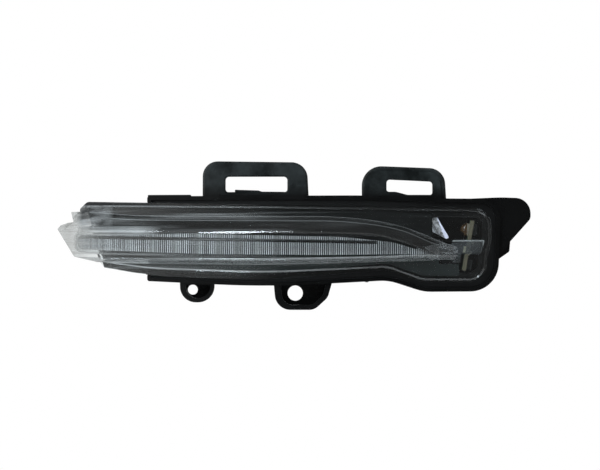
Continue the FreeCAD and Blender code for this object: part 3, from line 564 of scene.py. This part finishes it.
def dress_lamp():
    dress(black_moulding(), "rear_housing")
    dress(lens_plastic(), "outer_lens")
    dress(guide_plastic(), "light_guide")
    dress(dark_bezel(), "inner_bezel")
    dress(sealing_bead(), "lens_seal")
    dress(clamp_plastic(), "guide_clamp")
    dress(metal("screw_steel", SCREW_STEEL, rough=0.25, fine=4000.0), "clamp_screw")
    dress(reflector_silver(), "side_reflector")
    tin = metal("terminal_tin", TERMINAL_TIN, rough=0.22, fine=3000.0)
    dress(tin, "terminal_lower", "terminal_upper")
    dress(board_laminate(), "led_board")
    dress(package("led_package", LED_CERAMIC, rough=0.3), "guide_led_front", "guide_led_rear")
    dress(amber_led(), "side_led")
    chips = package("black_package", CHIP_BLACK, rough=0.45)
    dress(chips, "driver_chip", "protection_diode")
    dress(chips, "series_resistor_1", "series_resistor_2", "series_resistor_3")
    dress(package("capacitor_ceramic", CAPACITOR_TAN, rough=0.5), "filter_capacitor")
    dress(breather_patch(), "vent_membrane")


def lay_floor():
    """Pale floor below the lamp that fades to white at its rim and keeps the lamp's shadow."""
    corners = []
    for side_x, side_y in ((-1, -1), (1, -1), (1, 1), (-1, 1)):
        corner = (middle.x + side_x * FLOOR_HALF_X, middle.y + side_y * FLOOR_HALF_Y, low.z - FLOOR_DROP)
        corners.append(corner)
    mesh = bpy.data.meshes.new("floor")
    mesh.from_pydata(corners, [], [(0, 1, 2, 3)])
    floor = bpy.data.objects.new("floor", mesh)
    bpy.context.collection.objects.link(floor)
    finish = Finish("pale_floor", Roughness=0.9, Specular_IOR_Level=0.1)
    x = (finish.at("X") - middle.x) / FLOOR_HALF_X
    y = (finish.at("Y") - middle.y) / FLOOR_HALF_Y
    finish.set("Base Color", finish.between(finish.noise(60.0), *FLOOR_PALE))
    rim = finish.rise(x * x + y * y, *FLOOR_FADE)
    seen = finish.ray("Camera").larger(finish.ray("Glossy")).larger(finish.ray("Transmission"))
    white = finish.node("ShaderNodeEmission", sockets={"Color": WHITE, "Strength": 1.0})
    finish.lay(rim * seen, finish.opaque, white)
    mesh.materials.append(finish.material)


def light_studio():
    """White surround, dimmer straight ahead, overhead and to the right, and six soft boxes."""
    world = bpy.data.worlds.new("studio")
    bpy.context.scene.world = world
    world.use_nodes = True
    nodes = Nodes(world.node_tree)
    direction = nodes.node("ShaderNodeTexCoord", out="Generated")
    beside = nodes.rise(nodes.axis(direction, "Y"), *AHEAD)
    below = nodes.spread(nodes.axis(direction, "Z"), *OVERHEAD)
    outboard = nodes.spread(nodes.axis(direction, "X"), *RIGHTWARD)
    studio = beside * below * outboard * WORLD_GAIN + WORLD_LEAST
    bent = nodes.ray("Transmission").larger(nodes.ray("Glossy"))
    seen = nodes.ray("Camera").larger(bent * nodes.axis(direction, "Y").above(BEHIND_LAMP))
    background = world.node_tree.nodes["Background"]
    nodes.feed(background.inputs["Color"], WHITE)
    nodes.feed(background.inputs["Strength"], studio + seen * (1.0 - studio))
    for name, (place, wide, tall, glow) in SOFT_BOXES.items():
        lamp = bpy.data.lights.new(name, "AREA")
        lamp.shape = "RECTANGLE"
        lamp.size = wide
        lamp.size_y = tall
        lamp.color = LAMP_COLOUR
        lamp.energy = glow * math.pi * wide * tall
        box = bpy.data.objects.new(name, lamp)
        box.location = middle + Vector(place)
        box.rotation_euler = (middle - box.location).to_track_quat("-Z", "Y").to_euler()
        bpy.context.collection.objects.link(box)


def set_camera():
    """Square on to the lens, as far back as keeps the lamp's depth from showing."""
    data = bpy.data.cameras.new("camera")
    camera = bpy.data.objects.new("camera", data)
    bpy.context.collection.objects.link(camera)
    data.sensor_fit = "HORIZONTAL"
    data.angle = 2 * math.atan(FRAME_WIDE * PIXEL / 2 / CAMERA_AWAY)
    data.clip_end = CLIP_END
    camera.location = (VIEW_X, -CAMERA_AWAY, VIEW_Z)
    camera.rotation_euler = (math.pi / 2, 0, 0)
    bpy.context.scene.camera = camera


dress_lamp()
lay_floor()
light_studio()
set_camera()
bpy.context.scene.view_settings.view_transform = "Standard"
